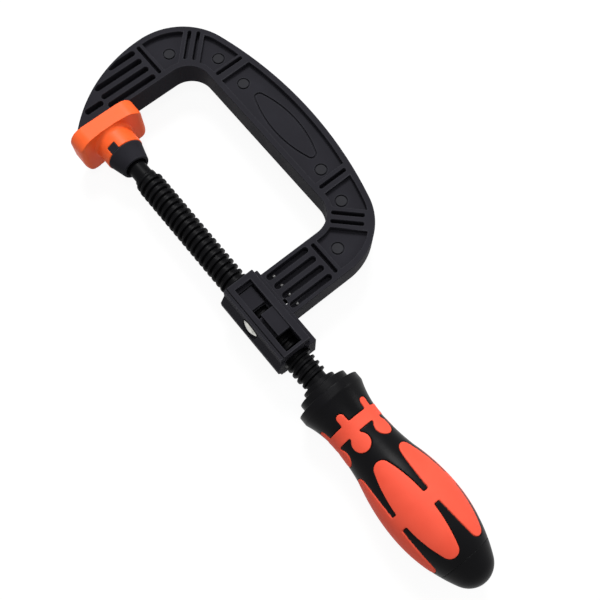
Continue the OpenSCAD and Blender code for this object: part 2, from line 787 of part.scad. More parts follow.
// Ball that swivels in the pad while the screw turns in it
module swivel_ball() {
    color(steel) difference() {
        intersection() {
            translate([ball_x, 0, 0]) sphere(ball_r);
            rod(ball_r, ball_x - ball_flat, ball_x + ball_flat);
        }
        rod(spigot_r + run_gap, ball_x - ball_r, ball_x + ball_r);
    }
}

// Screw that keeps the ball on the spigot
module ball_screw() {
    head_x = spigot_x0 - fit_gap - screw_head_h;
    color(steel) difference() {
        union() {
            rod(screw_head_r, head_x, head_x + screw_head_h);
            rod(screw_r, head_x + screw_head_h / 2, spigot_x0 + screw_len);
        }
        box([head_x - past, -screw_head_r, -driver_slot.x / 2],
            [head_x + driver_slot.y, screw_head_r, driver_slot.x / 2]);
    }
}

// Cup that takes the ball's thrust inside the pad
module thrust_cup() {
    color(dark_steel) difference() {
        rod(cup_r, cup_x0, socket_x0 - fit_gap);
        translate([ball_x, 0, 0]) sphere(seat_r);
        rod(cup_hole_r, cup_x0 - past, socket_x0);
    }
}

// Two keys that lock the socket to the pad, out to reach from the axis and larger by gap
module socket_keys(gap, reach) {
    key_x = collar_end - key_len;
    rotate([key_angle, 0, 0])
        box([key_x - gap, -key_w / 2 - gap, -reach], [collar_end, key_w / 2 + gap, reach]);
}

// Black socket that holds the ball in the pad
module pad_socket() {
    flare = tan(pad_tilt);
    hole_x = ball_x + ball_flat / 2;
    color(nylon) difference() {
        union() {
            rod(socket_r, socket_x0, collar_end);
            turned() polygon([[collar_end, 0], [collar_end, cone_r[0]], [socket_x1, cone_r[1]],
                [socket_x1, 0]]);
            socket_keys(0, cone_r[0]);
        }
        rod(seat_r, socket_x0 - past, ball_x);
        translate([ball_x, 0, 0]) sphere(seat_r);
        turned() polygon([[hole_x, 0], [hole_x, socket_hole_r + flare * (hole_x - ball_x)],
            [socket_x1 + past, socket_hole_r + flare * (socket_x1 + past - ball_x)],
            [socket_x1 + past, 0]]);
    }
}

// Rectangle with all corners rounded, centred
module rounded_square(size, r) {
    square([size.x - 2 * r, size.y], center = true);
    square([size.x, size.y - 2 * r], center = true);
    for (x = [-1, 1], y = [-1, 1]) translate([x * (size.x / 2 - r), y * (size.y / 2 - r)]) circle(r);
}

// Half outline of the pad's collar, with the hollow that runs from it into the flange
module pad_neck() {
    translate([pad_x0, 0]) square([collar_end - pad_x0, pad_collar_r]);
    difference() {
        translate([pad_x0, 0]) square([scoop_x - pad_x0 + fillet_r, pad_collar_r + fillet_r]);
        translate([scoop_x + fillet_r, pad_collar_r + fillet_r]) circle(fillet_r + arc_lap);
    }
}

// Orange pad: oblong flange with a scooped back, and the collar around the socket
module swivel_pad() {
    color(orange) difference() {
        intersection() {
            along_x(pad_x0, collar_end) rounded_square([pad_w, pad_h], pad_corner_r);
            union() {
                translate([0, 0, -pad_h / 2]) linear_extrude(pad_h) difference() {
                    translate([pad_x0, 0]) rounded_square([2 * pad_t, pad_w], pad_back_r);
                    translate([scoop_x + scoop_r, 0]) circle(scoop_r);
                }
                turned() pad_neck();
            }
        }
        rod(cup_r + fit_gap, cup_x0, collar_end + past);
        rod(socket_r + fit_gap, socket_x0, collar_end + past);
        socket_keys(fit_gap, pad_collar_r + past);
    }
}

// Stop ring between the thread and the handle
module stop_ring() {
    color(nylon) difference() {
        rod(stop_ring_r, thread_x1, stop_ring_x1);
        rod(shank_r + fit_gap, thread_x1 - past, stop_ring_x1 + past);
    }
}

// Collar in front of the handle
module handle_collar() {
    color(nylon) difference() {
        rod(collar_r, stop_ring_x1, handle_x0);
        rod(shank_r + fit_gap, stop_ring_x1 - past, handle_x0 + past);
    }
}

// Part of the handle's outline between two places: flange, hollow waist, belly and round end
module handle_outline(x0, x1, proud) {
    intersection() {
        union() {
            translate([handle_x0, 0]) square([flange_x - handle_x0, flange_r + proud]);
            hollow(flange_x, waist_x, hollow_r - proud, waist_r + hollow_r);
            hollow(waist_x, swell_x, swell_r - proud, waist_r + swell_r);
            bulge(swell_x, belly_x, [belly_x, belly_r - swell_r], swell_r + arc_lap + proud);
            bulge(belly_x, end_x, [belly_x, belly_r - tail_r], tail_r + proud);
            bulge(end_x, handle_x1, [handle_x1 - end_r, 0], end_r);
        }
        translate([x0, 0]) square([x1 - x0, belly_d]);
    }
}

// Stretch of the outline under an arc that curves inwards at the waist
module hollow(x0, x1, r, centre_y) {
    difference() {
        translate([x0, 0]) square([x1 - x0, flange_r + past]);
        translate([waist_x, centre_y]) circle(r, $fn = 180);
    }
}

// Stretch of the outline inside an arc that curves outwards
module bulge(x0, x1, centre, r) {
    intersection() {
        translate([x0, 0]) square([x1 - x0, belly_d]);
        translate(centre) circle(r, $fn = 180);
    }
}

// One figure on every step around the handle, from the floor of its inlay outwards
module around_handle(floor_z) {
    for (i = [0 : grip_count - 1]) rotate([grip_angle + 360 * i / grip_count, 0, 0])
        translate([0, 0, floor_z]) linear_extrude(belly_d) children();
}

// Hoop around the handle, from the floor of its inlay outwards
module hoop(x, floor_r) {
    along_x(x[0], x[1]) difference() {
        circle(belly_d);
        circle(floor_r);
    }
}

// Band, stubs and drops of the front grip, wider by side and deeper by gap
module front_figures(side, gap) {
    hoop([band_x[0] - side, band_x[1] + side], front_floor - gap);
    around_handle(front_floor - gap) {
        slot([band_x[0] - stub_len + stub_w / 2, 0], [drop_x, 0], stub_w + 2 * side);
        translate([band_x[0], -drop_neck_w / 2 - side])
            square([drop_x - band_x[0], drop_neck_w + 2 * side]);
        translate([drop_x, 0]) circle(drop_r + side);
    }
}

// Belt and ovals of the rear grip, wider by side and deeper by gap
module rear_figures(side, gap) {
    hoop([belt_x[0] - side, belt_x[1] + side], belt_floor - gap);
    around_handle(rear_floor - gap) translate([oval_x, 0])
        oval(oval_size + [side, side], oval_end_r + side);
}

// Handle core, with sunk places for both grips
module handle_core() {
    color(nylon) difference() {
        turned() handle_outline(handle_x0, cap_x, 0);
        front_figures(groove, fit_gap);
        rear_figures(groove, fit_gap);
        rod(shank_r + fit_gap, handle_x0 - past, flats_x);
        along_x(handle_x0, shank_x1 + fit_gap) flatted(shank_r + fit_gap, shank_flat + fit_gap);
        rod(bolt_r + fit_gap, shank_x1 - past, cap_x);
        rod(recess_r, washer_x, cap_x + past);
    }
}

// Front grip inlay
module grip_front() {
    color(orange) intersection() {
        turned() handle_outline(band_x[0] - stub_len - past, drop_x + drop_r + past, inlay_proud);
        front_figures(0, 0);
    }
}

// Rear grip inlay
module grip_rear() {
    color(orange) intersection() {
        turned() handle_outline(oval_x - oval_size.x - past, oval_x + oval_size.x + past, inlay_proud);
        rear_figures(0, 0);
    }
}

// Washer under the head of the handle bolt
module handle_washer() {
    color(steel) difference() {
        rod(washer_r, washer_x, washer_x + washer_t);
        rod(bolt_r + fit_gap, washer_x - past, washer_x + washer_t + past);
    }
}

// Bolt that draws the handle onto the shank
module handle_bolt() {
    head_x = washer_x + washer_t;
    color(steel) difference() {
        union() {
            rod(bolt_head_r, head_x, head_x + bolt_head_h);
            rod(bolt_r, shank_x1 - bolt_bite, head_x + past);
        }
        along_x(head_x + bolt_head_h / 2, head_x + bolt_head_h + past) circle(socket_key_r, $fn = 6);
    }
}

// Cap that closes the end of the handle
module handle_end_cap() {
    color(nylon) union() {
        turned() handle_outline(cap_x, handle_x1, 0);
        rod(recess_r - fit_gap, cap_x - cap_plug, cap_x + past);
    }
}

c_frame();
side_cover();
release_slider();
half_nut();
release_stud();
release_spring();
spindle();
swivel_ball();
ball_screw();
thrust_cup();
pad_socket();
swivel_pad();
stop_ring();
handle_collar();
handle_core();
grip_front();
grip_rear();
handle_washer();
handle_bolt();
handle_end_cap();
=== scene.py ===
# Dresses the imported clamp: rounded edges, a fine thread, a wound spring, finishes, light and camera.
import json
import math

import bmesh
import bpy
from mathutils import Matrix, Vector
from mathutils.bvhtree import BVHTree


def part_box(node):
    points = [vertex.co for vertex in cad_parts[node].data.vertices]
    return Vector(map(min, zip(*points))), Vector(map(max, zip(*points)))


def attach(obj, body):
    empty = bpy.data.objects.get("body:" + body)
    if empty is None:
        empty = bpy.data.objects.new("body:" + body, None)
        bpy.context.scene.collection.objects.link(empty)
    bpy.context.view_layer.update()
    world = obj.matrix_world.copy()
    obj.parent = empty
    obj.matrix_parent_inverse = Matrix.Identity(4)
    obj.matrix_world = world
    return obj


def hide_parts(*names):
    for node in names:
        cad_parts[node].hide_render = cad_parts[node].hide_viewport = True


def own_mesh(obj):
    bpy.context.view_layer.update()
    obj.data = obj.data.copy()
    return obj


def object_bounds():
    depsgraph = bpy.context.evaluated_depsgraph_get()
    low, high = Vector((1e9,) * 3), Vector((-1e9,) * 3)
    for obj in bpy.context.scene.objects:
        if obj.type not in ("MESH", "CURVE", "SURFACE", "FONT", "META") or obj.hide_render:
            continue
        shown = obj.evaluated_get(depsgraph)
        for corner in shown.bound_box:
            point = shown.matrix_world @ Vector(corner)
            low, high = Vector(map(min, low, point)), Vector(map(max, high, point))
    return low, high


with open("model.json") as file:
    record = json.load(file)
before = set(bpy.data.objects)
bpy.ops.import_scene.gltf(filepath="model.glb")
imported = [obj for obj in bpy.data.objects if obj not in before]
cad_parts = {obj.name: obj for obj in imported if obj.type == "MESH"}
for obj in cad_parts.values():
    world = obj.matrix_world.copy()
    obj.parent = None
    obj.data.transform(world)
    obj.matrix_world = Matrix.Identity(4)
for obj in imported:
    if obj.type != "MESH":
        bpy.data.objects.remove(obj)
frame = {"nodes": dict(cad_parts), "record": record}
cad_low, cad_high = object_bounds()

MM = 0.001
WHITE = (1, 1, 1, 1)

# Camera: focal length for a square image, where it aims, its direction, roll and distance, and the
# nearest and farthest that it sees
IMAGE_PX = 600
FOCAL_PX = 840
SENSOR_MM = 36
AIM = Vector((126.3, 17.8, 0)) * MM
AZIMUTH = math.radians(49.87)
ELEVATION = math.radians(71.11)
ROLL = math.radians(0.97)
DISTANCE = 371.2 * MM
CLIP_NEAR = 0.01
CLIP_FAR = 50

# Edges: faces that meet past SHARP have one, faces that meet within FLAT become one face, and a weld
# closes the split corners of a node
SHARP = math.radians(24)
FLAT = math.radians(0.2)
WELD = 0.002 * MM

# Rounding of outer edges: its widths and segments, and the most that it takes of a face's mean width
FRAME_ROUNDING = 0.35 * MM
SMALL_ROUNDING = 0.3 * MM
ROUNDING_SEGMENTS = 2
ROOM_SHARE = 0.4

# An edge is rounded only where the surface goes on flat beside it: how many roundings far, how much it
# may be off as a share of that, and the places along the edge that are tested
ROOM_WIDTHS = 2
OFF_SHARE = 0.1
EDGE_STATIONS = (0.1, 0.3, 0.5, 0.7, 0.9)

# Even skins with worn edges: the size of their cells and the passes of wear, and how strong a pass is
COVER_SKIN = (0.2 * MM, 3)
PAD_SKIN = (0.25 * MM, 2)
HANDLE_SKIN = (0.3 * MM, 3)
PASS_STRENGTH = 0.5

# Noise of the finishes: its roughness, the values it mostly lies between, and the scale per metre,
# detail and strength of each kind
NOISE_ROUGHNESS = 0.55
NOISE_LOW = 0.3
NOISE_HIGH = 0.7
DRIFT_HIGH = 0.72
DRIFT_PER_M = 70
DRIFT_DETAIL = 4
GRAIN_DETAIL = 3
WAVE_PER_M = 130
WAVE_DETAIL = 1
POLISH_AND_REFLECTION_PER_M = 400
POLISH_AND_REFLECTION_DETAIL = 3
BRUSH_DETAIL = 2
BRUSH_STRENGTH = 0.6

# Paler outer edges, both wear and a painted highlight: how far in the paling reaches, the samples that
# look for an edge, and how buried, from 0 to 1, a place is where the paling starts and where it is full
WEAR_AND_HIGHLIGHT_REACH = 0.7 * MM
WEAR_AND_HIGHLIGHT_SAMPLES = 8
WEAR_AND_HIGHLIGHT_START = 0.92
WEAR_AND_HIGHLIGHT_FULL = 0.5

# Screw: its places along X, its radii, and the shares of the pitch taken by the crest and by each flank
PITCH = math.tau / frame["record"]["behaviour"]["couplings"][0]["ratio"]
THREAD_START = 34.5 * MM
THREAD_TURNS = 39
THREAD_R = 6.5 * MM
ROOT_R = 5.2 * MM
CREST_SHARE = 0.36
FLANK_SHARE = 0.14
CREST_ROUND = 0.16 * MM
RIDGE_ROOT = 0.3 * MM
RUN_OUT_TURNS = 0.7
SCREW_SIDES = 48
SPIGOT_R = 3 * MM
SPIGOT_BORE_R = 1.55 * MM
SPIGOT_BORE_LEN = 9 * MM
SHOULDER_R = 4 * MM
NECK_R = 4.5 * MM
NECK_X = 28.3 * MM
SHANK_R = 5 * MM
SHANK_FLAT = 4.2 * MM
FLATS_X = 170.5 * MM
BOLT_BORE_R = 3.05 * MM
BOLT_BORE_LEN = 13 * MM

# Release spring
WIRE_R = 0.3 * MM
SPRING_TURNS = 7
SPRING_STEPS = 32
WIRE_SIDES = 10

# Moulding nubs in the slots of the lower arm: the first one's tip, and their spacing along X
NUB_TIP = Vector((111.3, 15.2, 3.3)) * MM
NUB_COUNT = 4
NUB_PITCH = 5.47 * MM
NUB_R = 0.7 * MM
NUB_DOME = 0.45 * MM
NUB_SIDES = 16
NUB_RINGS = 4

# Ejector pin marks in the panels: their centres, how far they lie from the middle of the frame, and the
# radius of the pale skin on each and how far it goes to either side of the mark's face
PIN_MARKS = [Vector(place) * MM for place in ((-10.4, 47.4), (6.6, 64.4), (25.3, 65.2), (84.1, 64.7),
                                              (102.2, 61.7), (119, 45.4))]
PIN_FLOOR = 3.9 * MM
PIN_R = 2.48 * MM
PIN_SKIN = 0.05 * MM
PIN_SIDES = 32

# Floor: half its width, its colour as it lights the object and as it is looked at, and the glow and its
# share where it is looked at
FLOOR_HALF = 3
FLOOR_DIM = (0.4, 0.4, 0.4)
FLOOR_PALE = (0.95, 0.95, 0.95)
FLOOR_ROUGHNESS = 0.9
FLOOR_GLOW = 1.03
FLOOR_GLOW_SHARE = 0.9

# Light: strength from all round, and each lamp's place from the aim and width in metres, and its watts
WORLD_LIGHT = 0.3
LAMPS = {
    "key": ((-0.7, 0.5, 1.3), 0.5, 19),
    "top": ((0.1, -0.1, 1.2), 0.5, 3),
    "rim": ((0.25, 1.1, 0.55), 0.4, 3),
}


# Materials

def blank(name):
    """A new node material with its shader, ready for links."""
    material = bpy.data.materials.new(name)
    material.use_nodes = True
    tree = material.node_tree
    return material, tree, tree.nodes["Principled BSDF"]


def node(tree, kind, **sockets):
    """A new node with some of its inputs set, an underscore standing for a space."""
    made = tree.nodes.new(kind)
    for name, value in sockets.items():
        made.inputs[name.replace("_", " ")].default_value = value
    return made


def noise(tree, per_m, detail):
    """Noise in the piece's own metres."""
    place = tree.nodes.new("ShaderNodeTexCoord")
    made = node(tree, "ShaderNodeTexNoise", Scale=per_m, Detail=detail, Roughness=NOISE_ROUGHNESS)
    tree.links.new(place.outputs["Object"], made.inputs["Vector"])
    return made.outputs["Fac"]


def ramp(tree, value, low, high, start, end):
    """Colour that runs from low to high while value goes from start to end."""
    made = tree.nodes.new("ShaderNodeValToRGB")
    stops = made.color_ramp.elements
    stops[0].position, stops[0].color = start, (*low, 1)
    stops[1].position, stops[1].color = end, (*high, 1)
    tree.links.new(value, made.inputs["Fac"])
    return made.outputs["Color"]


def spread(tree, value, low, high):
    """Number from low to high that follows a noise."""
    made = node(tree, "ShaderNodeMapRange", From_Min=NOISE_LOW, From_Max=NOISE_HIGH,
                To_Min=low, To_Max=high)
    tree.links.new(value, made.inputs["Value"])
    return made.outputs["Result"]


def bump(tree, value, depth, strength=1, under=None):
    """Bump of a real depth in metres, over another where one is given."""
    made = node(tree, "ShaderNodeBump", Strength=strength, Distance=depth)
    tree.links.new(value, made.inputs["Height"])
    if under is not None:
        tree.links.new(under, made.inputs["Normal"])
    return made.outputs["Normal"]


def mixed(tree, share, first, second):
    """Two shaders mixed, share being the part of the second."""
    mix = tree.nodes.new("ShaderNodeMixShader")
    tree.links.new(share, mix.inputs["Fac"])
    tree.links.new(first, mix.inputs[1])
    tree.links.new(second, mix.inputs[2])
    return mix.outputs["Shader"]


def worn_and_highlit_edges(tree, colour, wear_and_highlight):
    """Colour that turns to a paler one along the outer edges of the piece, as wear and as a painted
    highlight.
    """
    buried = node(tree, "ShaderNodeAmbientOcclusion", Distance=WEAR_AND_HIGHLIGHT_REACH)
    buried.inside = True
    buried.only_local = True
    buried.samples = WEAR_AND_HIGHLIGHT_SAMPLES
    edge = node(tree, "ShaderNodeMapRange", From_Min=WEAR_AND_HIGHLIGHT_START, From_Max=WEAR_AND_HIGHLIGHT_FULL, To_Min=0, To_Max=1)
    # Paler colour mixed in along outer edges: wear, and a painted highlight where the edges would catch
    # the light.
    mix = node(tree, "ShaderNodeMixRGB", Color2=(*wear_and_highlight, 1))
    tree.links.new(buried.outputs["AO"], edge.inputs["Value"])
    tree.links.new(edge.outputs["Result"], mix.inputs["Fac"])
    tree.links.new(colour, mix.inputs["Color1"])
    return mix.outputs["Color"]


def moulded(name, dark, light, roughness, specular, grain_per_m, grain_depth, wave_depth, wear_and_highlight=None):
    """Moulded plastic: a little colour drift, a fine grain, a faint shrinkage wave and any paler outer
    edges (wear and painted highlight).
    """
    material, tree, shader = blank(name)
    shader.inputs["Specular IOR Level"].default_value = specular
    drift = noise(tree, DRIFT_PER_M, DRIFT_DETAIL)
    grain = noise(tree, grain_per_m, GRAIN_DETAIL)
    wave = noise(tree, WAVE_PER_M, WAVE_DETAIL)
    colour = ramp(tree, drift, dark, light, NOISE_LOW, DRIFT_HIGH)
    if wear_and_highlight is not None:
        colour = worn_and_highlit_edges(tree, colour, wear_and_highlight)
    tree.links.new(colour, shader.inputs["Base Color"])
    tree.links.new(spread(tree, drift, *roughness), shader.inputs["Roughness"])
    waved = bump(tree, wave, wave_depth)
    tree.links.new(bump(tree, grain, grain_depth, under=waved), shader.inputs["Normal"])
    return material


def metal(name, dark, light, roughness, brush_per_m, brush_depth):
    """Bare metal with fine turning marks and a patchy polish; colours set far apart paint pale and dark
    reflections.
    """
    material, tree, shader = blank(name)
    shader.inputs["Metallic"].default_value = 1
    polish_and_reflections = noise(tree, POLISH_AND_REFLECTION_PER_M, POLISH_AND_REFLECTION_DETAIL)
    marks = noise(tree, brush_per_m, BRUSH_DETAIL)
    colour = ramp(tree, polish_and_reflections, dark, light, NOISE_LOW, NOISE_HIGH)
    tree.links.new(colour, shader.inputs["Base Color"])
    tree.links.new(spread(tree, polish_and_reflections, *roughness), shader.inputs["Roughness"])
    tree.links.new(bump(tree, marks, brush_depth, BRUSH_STRENGTH), shader.inputs["Normal"])
    return material


def finishes():
    """One material for each material slot of the record."""
    deep_black = {"dark": (0.003, 0.003, 0.0035), "light": (0.0045, 0.0045, 0.0053)}
    plastics = {
        "black_nylon": dict(dark=(0.0145, 0.014, 0.018), light=(0.0205, 0.02, 0.025),
                            # Paler colour on the outer edges: wear and a painted edge highlight.
                            wear_and_highlight=(0.04, 0.04, 0.046), roughness=(0.58, 0.7), specular=0.04,
                            grain_per_m=2600, grain_depth=0.02 * MM, wave_depth=0.03 * MM),
        "black_screw": dict(**deep_black, roughness=(0.34, 0.44), specular=0.04,
                            grain_per_m=2200, grain_depth=0.015 * MM, wave_depth=0.02 * MM),
        "black_handle": dict(**deep_black, roughness=(0.32, 0.4), specular=0.06,
                             grain_per_m=3000, grain_depth=0.01 * MM, wave_depth=0.03 * MM),
        "orange_pad": dict(dark=(0.94, 0.115, 0.02), light=(0.99, 0.137, 0.03),
                           roughness=(0.4, 0.52), specular=0.2,
                           grain_per_m=2400, grain_depth=0.01 * MM, wave_depth=0.04 * MM),
        "orange_grip": dict(dark=(0.86, 0.085, 0.042), light=(0.92, 0.105, 0.055),
                            roughness=(0.55, 0.68), specular=0.25,
                            grain_per_m=2800, grain_depth=0.015 * MM, wave_depth=0.03 * MM),
    }
    metals = {
        # Pale and dark colours set far apart: painted reflections on the polished steel, besides its
        # patchy polish.
        "polished_steel": dict(dark=(0.26, 0.26, 0.24), light=(0.74, 0.73, 0.68),
                               roughness=(0.14, 0.24), brush_per_m=5000, brush_depth=0.004 * MM),
        "steel": dict(dark=(0.52, 0.52, 0.53), light=(0.62, 0.62, 0.62),
                      roughness=(0.28, 0.4), brush_per_m=4000, brush_depth=0.008 * MM),
        "dark_steel": dict(dark=(0.14, 0.14, 0.15), light=(0.2, 0.2, 0.21),
                           roughness=(0.36, 0.5), brush_per_m=3500, brush_depth=0.01 * MM),
    }
    made = {name: moulded(name, **look) for name, look in plastics.items()}
    made.update((name, metal(name, **look)) for name, look in metals.items())
    return made


def etched_nylon():
    """Paler nylon of the frame, as on its pin marks."""
    return moulded("etched_nylon", dark=(0.02, 0.02, 0.023), light=(0.03, 0.03, 0.034),
                   roughness=(0.6, 0.7), specular=0.05,
                   grain_per_m=2600, grain_depth=0.03 * MM, wave_depth=0.01 * MM)


def painted_glint_nylon():
    """Pale glossy nylon on the tips of the frame's nubs, a painted glint."""
    return moulded("painted_glint_nylon", dark=(0.1, 0.1, 0.1), light=(0.16, 0.16, 0.16),
                   roughness=(0.2, 0.28), specular=0.6,
                   grain_per_m=2600, grain_depth=0.01 * MM, wave_depth=0.01 * MM)


# Shapes

def body_of(name):
    """Body that a CAD node rides on."""
    groups = frame["record"]["behaviour"]["bodies"]
    return next(body for body, nodes in groups.items() if name in nodes)


def slot_of(name):
    """Material slot that the record gives a CAD node."""
    return next(part["material_slot"] for part in frame["record"]["subparts"] if part["node"] == name)


def add_object(name, data):
    """A new object in the scene."""
    made = bpy.data.objects.new(name, data)
    bpy.context.scene.collection.objects.link(made)
    return made


def add_piece(name, mesh, body, slot, *nodes):
    """A mesh piece that rides on a body, takes a slot's finish and stands for any CAD nodes named."""
    piece = add_object(name, mesh)
    mesh.materials.append(finish[slot])
    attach(piece, body)
    if nodes:
        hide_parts(*nodes)
    return piece


def stand_in(name, mesh, cad_name):
    """A mesh piece in the place of one CAD node, on its body and in its finish."""
    return add_piece(name, mesh, body_of(cad_name), slot_of(cad_name), cad_name)


def node_form(name):
    """Welded copy of a CAD node's mesh."""
    form = bmesh.new()
    form.from_mesh(frame["nodes"][name].data)
    bmesh.ops.remove_doubles(form, verts=form.verts, dist=WELD)
    return form


def is_sharp(edge):
    """Whether the faces beside an edge meet at a clear angle."""
    return len(edge.link_faces) != 2 or edge.calc_face_angle(0) > SHARP


def is_roomy(edge, surface, reach):
    """Whether the surface goes on flat for that far on both sides of an edge."""
    for loop in edge.link_loops:
        run = loop.link_loop_next.vert.co - loop.vert.co
        inward = loop.face.normal.cross(run).normalized()
        for station in EDGE_STATIONS:
            place = loop.vert.co + station * run + reach * inward
            *_, off = surface.find_nearest(place)
            if off > OFF_SHARE * reach:
                return False
    return True


def edge_room(edge):
    """Mean width of the slimmer of the two faces beside an edge."""
    return min(face.calc_area() for face in edge.link_faces) / edge.calc_length()


def smooth_mesh(name, form):
    """Mesh of a form, smooth but for its sharp edges."""
    for face in form.faces:
        face.smooth = True
    for edge in form.edges:
        edge.smooth = not is_sharp(edge)
    mesh = bpy.data.meshes.new(name)
    form.to_mesh(mesh)
    form.free()
    return mesh


def softened(name, width):
    """Stands for a CAD node with its outer edges rounded, where they have the room."""
    form = node_form(name)
    bmesh.ops.dissolve_limit(form, angle_limit=FLAT, verts=form.verts, edges=form.edges)
    surface = BVHTree.FromBMesh(form)
    weight = form.edges.layers.float.new("bevel_weight_edge")
    for edge in form.edges:
        if is_sharp(edge) and edge.is_convex and is_roomy(edge, surface, ROOM_WIDTHS * width):
            edge[weight] = min(1, ROOM_SHARE * edge_room(edge) / width)
    piece = stand_in(name + "_soft", smooth_mesh(name + "_soft", form), name)
    rounding = piece.modifiers.new("rounding", "BEVEL")
    rounding.width = width
    rounding.segments = ROUNDING_SEGMENTS
    rounding.limit_method = "WEIGHT"
    rounding.use_clamp_overlap = False
    rounding.harden_normals = True


def remoulded(name, cell, passes):
    """Stands for a CAD node as one even skin, with its edges worn round."""
    rough = bpy.data.meshes.new(name + "_draft")
    form = node_form(name)
    form.to_mesh(rough)
    form.free()
    draft = add_object(name + "_draft", rough)
    skin = draft.modifiers.new("skin", "REMESH")
    skin.mode = "VOXEL"
    skin.voxel_size = cell
    wear = draft.modifiers.new("wear", "SMOOTH")
    wear.factor = PASS_STRENGTH
    wear.iterations = passes
    mesh = bpy.data.meshes.new_from_object(draft.evaluated_get(bpy.context.evaluated_depsgraph_get()))
    bpy.data.objects.remove(draft)
    mesh.name = name + "_soft"
    mesh.shade_smooth()
    stand_in(name + "_soft", mesh, name)


def polished(name):
    """Stands for a CAD node as it is, with smooth curves."""
    stand_in(name + "_smooth", smooth_mesh(name + "_smooth", node_form(name)), name)


def turns(count):
    """Angles of even steps once around."""
    return [math.tau * i / count for i in range(count)]


def skin_mesh(name, skins):
    """Mesh of closed skins, each over a row of rings of points, with a face at each end."""
    form = bmesh.new()
    for rings in skins:
        rows = [[form.verts.new(point) for point in ring] for ring in rings]
        for row, following in zip(rows, rows[1:]):
            for i in range(len(row)):
                form.faces.new((row[i - 1], row[i], following[i], following[i - 1]))
        form.faces.new(rows[0])
        form.faces.new(rows[-1])
    bmesh.ops.recalc_face_normals(form, faces=form.faces)
    return smooth_mesh(name, form)


def round_ring(x, radius, flat=math.inf):
    """Ring of points about the screw axis, cut flat above and below where flat is given."""
    return [Vector((x, radius * math.cos(turn), max(-flat, min(flat, radius * math.sin(turn)))))
            for turn in turns(SCREW_SIDES)]


def screw_core():
    """Rings of the spigot with its bore, shoulder, neck, root of the thread and shank, turned as one."""
    low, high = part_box("spindle")
    shoulder_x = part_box("swivel_ball")[1].x
    thread_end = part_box("stop_ring")[0].x
    steps = [(low.x + SPIGOT_BORE_LEN, SPIGOT_BORE_R), (low.x, SPIGOT_BORE_R), (low.x, SPIGOT_R),
             (shoulder_x, SPIGOT_R), (shoulder_x, SHOULDER_R), (NECK_X, SHOULDER_R), (NECK_X, NECK_R),
             (THREAD_START, NECK_R), (THREAD_START, ROOT_R), (thread_end, ROOT_R), (thread_end, SHANK_R),
             (FLATS_X, SHANK_R)]
    rings = [round_ring(x, radius) for x, radius in steps]
    rings += [round_ring(x, SHANK_R, SHANK_FLAT) for x in (FLATS_X, high.x)]
    rings += [round_ring(x, BOLT_BORE_R) for x in (high.x, high.x - BOLT_BORE_LEN)]
    return rings


def screw_ridge():
    """Rings of the thread's ridge, wound on its root and faded out at both ends."""
    count = SCREW_SIDES * THREAD_TURNS
    half_crest = CREST_SHARE * PITCH / 2
    half_base = half_crest + FLANK_SHARE * PITCH
    middle = THREAD_START + half_base
    rings = []
    for k in range(count + 1):
        angle = math.tau * k / SCREW_SIDES
        rise = (THREAD_R - ROOT_R) * min(1, min(k, count - k) / (RUN_OUT_TURNS * SCREW_SIDES))
        side = [(half_crest - CREST_ROUND, rise), (half_crest, rise - min(rise, CREST_ROUND) / 2),
                (half_base, 0), (half_base, -RIDGE_ROOT)]
        profile = [(-run, height) for run, height in reversed(side)] + side
        x = middle + PITCH * k / SCREW_SIDES
        rings.append([Vector((x + run, (ROOT_R + height) * math.cos(angle),
                              (ROOT_R + height) * math.sin(angle)))
                      for run, height in profile])
    return rings


def make_screw():
    """Screw with a fine round thread."""
    stand_in("spindle_fine", skin_mesh("spindle_fine", [screw_core(), screw_ridge()]), "spindle")


def make_spring():
    """Round wire wound along Y, the spring that shortens towards its fixed end as the button goes in; the
    mesh here is built at one length.
    """
    low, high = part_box("release_spring")
    centre = (low + high) / 2
    radius = (high.x - low.x) / 2 - WIRE_R
    rise = (high.y - low.y - 2 * WIRE_R) / (SPRING_TURNS * math.tau)
    rings = []
    for i in range(SPRING_STEPS * SPRING_TURNS + 1):
        angle = math.tau * i / SPRING_STEPS
        out = Vector((math.cos(angle), 0, math.sin(angle)))
        along = Vector((-radius * math.sin(angle), rise, radius * math.cos(angle))).normalized()
        across = along.cross(out)
        place = Vector((centre.x, low.y + WIRE_R + rise * angle, centre.z)) + radius * out
        rings.append([place + WIRE_R * (math.cos(turn) * out + math.sin(turn) * across)
                      for turn in turns(WIRE_SIDES)])
    spring = stand_in("spring_coil", skin_mesh("spring_coil", [rings]), "release_spring")
    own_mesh(spring)


def make_nub_glints():
    """Rounded tips on the moulding nubs, painted pale as glints."""
    domes = []
    for i in range(NUB_COUNT):
        foot = NUB_TIP + Vector((i * NUB_PITCH, 0, 0))
        rings = []
        for k in range(NUB_RINGS):
            lift = math.pi / 2 * k / NUB_RINGS
            radius, height = NUB_R * math.cos(lift), NUB_DOME * math.sin(lift)
            rings.append([foot + Vector((radius * math.cos(turn), radius * math.sin(turn), height))
                          for turn in turns(NUB_SIDES)])
        domes.append(rings)
    tips = add_piece("nub_glint_tips", skin_mesh("nub_glint_tips", domes), "frame", "black_nylon")
    # The pale colour of the nub tips is a painted glint.
    tips.data.materials[0] = painted_glint_nylon()


def make_pin_skins():
    """Pale etched skins on the discs of the pin marks, on both faces of the frame."""
    discs = []
    for mark in PIN_MARKS:
        rim = [(mark.x + PIN_R * math.cos(turn), mark.y + PIN_R * math.sin(turn))
               for turn in turns(PIN_SIDES)]
        for side in (-1, 1):
            discs.append([[Vector((x, y, side * z)) for x, y in rim]
                          for z in (PIN_FLOOR - PIN_SKIN, PIN_FLOOR + PIN_SKIN)])
    skins = add_piece("pin_skins", skin_mesh("pin_skins", discs), "frame", "black_nylon")
    skins.data.materials[0] = etched_nylon()


def dress_nodes():
    """Gives each CAD node that is still shown the finish of its slot."""
    for name, piece in frame["nodes"].items():
        if not piece.hide_render:
            piece.data.materials.clear()
            piece.data.materials.append(finish[slot_of(name)])


# Scene around the object

